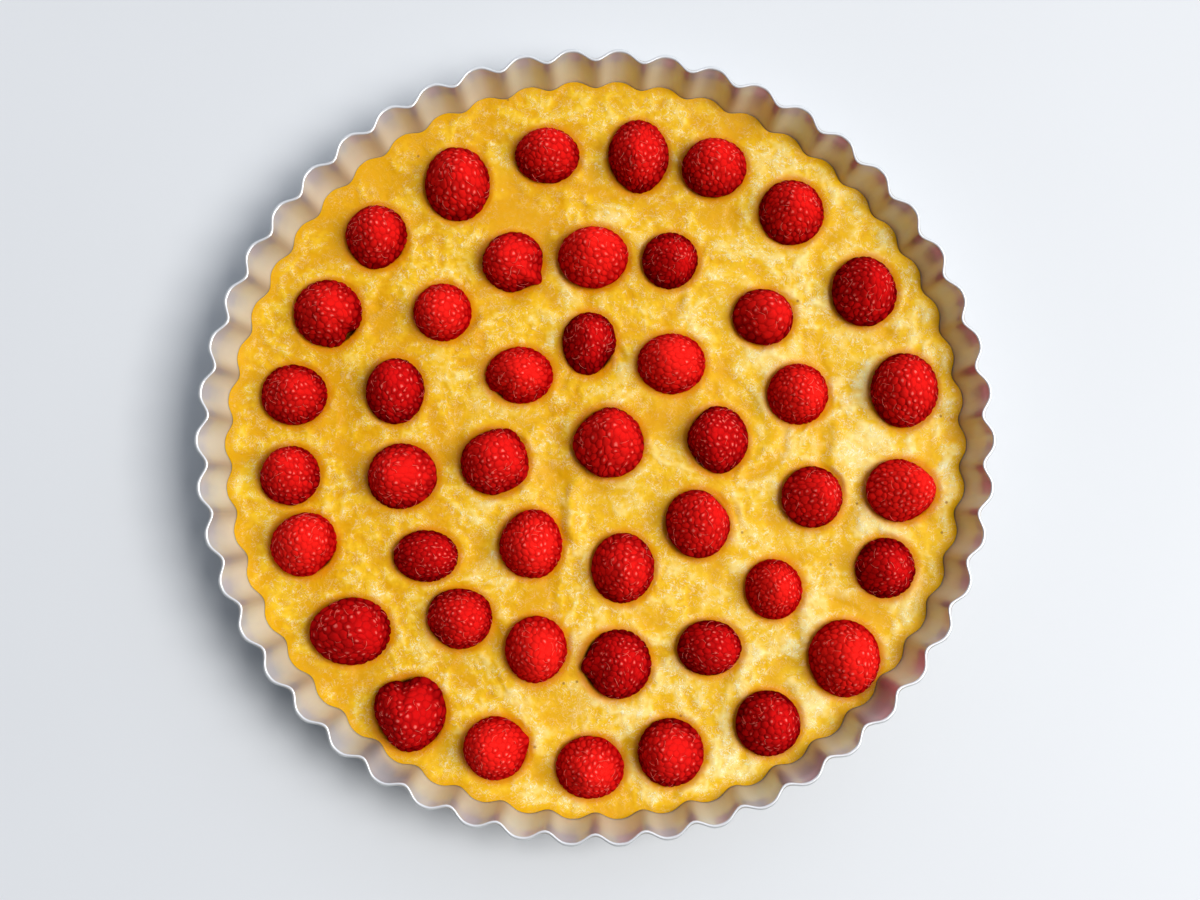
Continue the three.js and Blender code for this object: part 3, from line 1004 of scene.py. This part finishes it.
# A direction that hardly any hair runs along, to turn its sides from
HAIR_SIDE_FROM = (0.31, 0.62, 0.72)
# Hairs start above the batter, part of the way from a drupelet's middle to its groove
HAIRS_ABOVE = FILLING_LEVEL + 1 * MM
HAIR_GROOVES = (0.3, 0.9)
HAIR_ROOT_GAP = 0.1 * MM
HAIR_COLOUR = (1.0, 0.22, 0.16)
HAIR_TONES = [(0.4, tuple(0.75 * c for c in HAIR_COLOUR)), (0.6, HAIR_COLOUR)]
HAIR_CLOUDS = 400.0
HAIR_SURFACE = {"Roughness": 0.7, "Specular IOR Level": 0.0}


def hair_path(root, outward, rng):
    """A curl that leaves the skin and bends back along it."""
    sideways = on_sphere(np.cross(outward, rng.normal(size=3))[None])[0]
    across = np.cross(outward, sideways)
    length = rng.uniform(*HAIR_LENGTH)
    curl = rng.uniform(-HAIR_CURL, HAIR_CURL)
    path = [root]
    for step in range(HAIR_STEPS):
        share = step / HAIR_STEPS
        along = sideways * math.cos(curl * share) + across * math.sin(curl * share)
        along = along + HAIR_RISE * math.cos(HAIR_BOW * share) * outward
        path.append(path[-1] + along / np.linalg.norm(along) * length / HAIR_STEPS)
    return np.array(path)


def hair_tube(path, first):
    """A thin closed tube along a path, finer to its end, its points numbered from first."""
    points = []
    for step, centre in enumerate(path):
        along = path[min(step + 1, HAIR_STEPS)] - path[max(step - 1, 0)]
        frame_x = on_sphere(np.cross(along, HAIR_SIDE_FROM)[None])[0]
        frame_y = on_sphere(np.cross(along, frame_x)[None])[0]
        thick = HAIR_RADIUS * (1 - HAIR_THINNING * step / HAIR_STEPS)
        points += [centre + thick * (math.cos(a) * frame_x + math.sin(a) * frame_y)
                   for a in np.arange(HAIR_SIDES) * math.tau / HAIR_SIDES]
    faces = [[first + side for side in reversed(range(HAIR_SIDES))]]
    for step in range(HAIR_STEPS):
        low = first + step * HAIR_SIDES
        faces += band_faces(low, low + HAIR_SIDES, HAIR_SIDES)
    faces.append([first + HAIR_STEPS * HAIR_SIDES + side for side in range(HAIR_SIDES)])
    return points, faces


def dry_hair():
    """Dull pinkish white, duller in places."""
    material, shader, add, link = new_finish("dry_hair", HAIR_SURFACE)
    cloud = noise(add, add("ShaderNodeTexCoord").outputs["Object"], HAIR_CLOUDS)
    link(colour_ramp(add, cloud, HAIR_TONES), shader.inputs["Base Color"])
    return material


hair_rng = np.random.default_rng(HAIR_SEED)
hair_points, hair_faces = [], []
for points, groove in berry_skins:
    middle = points.mean(0)
    beside_groove = (groove > HAIR_GROOVES[0]) & (groove < HAIR_GROOVES[1])
    showing = np.flatnonzero((points[:, 2] > HAIRS_ABOVE) & beside_groove)
    for pick in hair_rng.choice(showing, HAIRS_PER_BERRY, replace=False):
        outward = on_sphere((points[pick] - middle)[None])[0]
        root = points[pick] + HAIR_ROOT_GAP * outward
        made, joined = hair_tube(hair_path(root, outward, hair_rng), len(hair_points))
        hair_points += made
        hair_faces += joined
add_piece("berry_hairs", hair_points, hair_faces, dry_hair())


# ---- Worktop, light and camera ----
# The tart stands on a plain pale worktop. A window on its right lights it, and the pale
# room fills in the shadows. The camera hangs over it, a little towards the near side.

WORKTOP_RADIUS = 20 * RIM_RADIUS
WORKTOP_SIDES = 128
WORKTOP_COLOUR = (0.70, 0.713, 0.735)
WORKTOP_TONES = [(place, tuple(share * c for c in WORKTOP_COLOUR))
                 for place, share in ((0.3, 0.98), (0.7, 1.02))]
WORKTOP_CLOUDS = 3.0
WORKTOP_SURFACE = {"Roughness": 0.55}
# The room's light rises from the dark side to the bright one, and what is seen of it behind
# the tart has one strength
ROOM_COLOUR = (0.86, 0.94, 1.06)
ROOM_BRIGHT_SIDE = (0.40, 0.89, 0.22)
ROOM_DARK_FROM = -0.12
ROOM_STRENGTH = (0.06, 1.05)
BACKDROP_STRENGTH = 0.75
WINDOW_COLOUR = (1.0, 0.985, 0.955)
WINDOW_POWER = 132.0
WINDOW_DISTANCE = 3.6
WINDOW_BEARING = math.radians(-4)
WINDOW_RISE = math.radians(56)
WINDOW_SIZE = (2.0, 2.0)
CAMERA_PLACE = Vector((1.6 * MM, -60 * MM, 650 * MM))
CAMERA_AIM = Vector((1.6 * MM, -3.6 * MM, TIN_HEIGHT))
CAMERA_LENS = 53.6


def worktop_finish():
    """Plain and pale, hardly clouded."""
    material, shader, add, link = new_finish("pale_worktop", WORKTOP_SURFACE)
    cloud = noise(add, add("ShaderNodeTexCoord").outputs["Object"], WORKTOP_CLOUDS, Detail=3.0)
    link(colour_ramp(add, cloud, WORKTOP_TONES), shader.inputs["Base Color"])
    return material


bpy.ops.mesh.primitive_circle_add(vertices=WORKTOP_SIDES, radius=WORKTOP_RADIUS,
                                  fill_type="NGON", location=(0, 0, TIN_LOW.z))
worktop = bpy.context.object
worktop.name = "worktop"
worktop.data.materials.append(worktop_finish())

room = bpy.data.worlds.new("pale_room")
room.use_nodes = True
add = node_maker(room.node_tree)
direction = add("ShaderNodeTexCoord").outputs["Generated"]
towards = add("ShaderNodeVectorMath", {0: direction, 1: ROOM_BRIGHT_SIDE}, operation="DOT_PRODUCT")
brightness = scaled(add, towards.outputs["Value"], (ROOM_DARK_FROM, 1), ROOM_STRENGTH)
seen = add("ShaderNodeLightPath").outputs["Is Camera Ray"]
# A Mix node's numbers are its inputs 2 and 3 and its output 0
strength = add("ShaderNodeMix", {"Factor": seen, 2: brightness, 3: BACKDROP_STRENGTH})
background = room.node_tree.nodes["Background"]
background.inputs["Color"].default_value = (*ROOM_COLOUR, 1)
room.node_tree.links.new(strength.outputs[0], background.inputs["Strength"])
bpy.context.scene.world = room
bpy.context.scene.view_settings.view_transform = "Standard"

window_light = bpy.data.lights.new("window", "AREA")
window_light.shape = "RECTANGLE"
window_light.size, window_light.size_y = WINDOW_SIZE
window_light.energy = WINDOW_POWER
window_light.color = WINDOW_COLOUR
window = bpy.data.objects.new("window", window_light)
window.location = WINDOW_DISTANCE * Vector((math.cos(WINDOW_RISE) * math.cos(WINDOW_BEARING),
                                            math.cos(WINDOW_RISE) * math.sin(WINDOW_BEARING),
                                            math.sin(WINDOW_RISE)))
window.rotation_euler = (-window.location).to_track_quat("-Z", "Y").to_euler()
bpy.context.collection.objects.link(window)

camera = bpy.data.objects.new("camera", bpy.data.cameras.new("camera"))
camera.data.lens = CAMERA_LENS
camera.location = CAMERA_PLACE
camera.rotation_euler = (CAMERA_AIM - CAMERA_PLACE).to_track_quat("-Z", "Y").to_euler()
bpy.context.collection.objects.link(camera)
bpy.context.scene.camera = camera
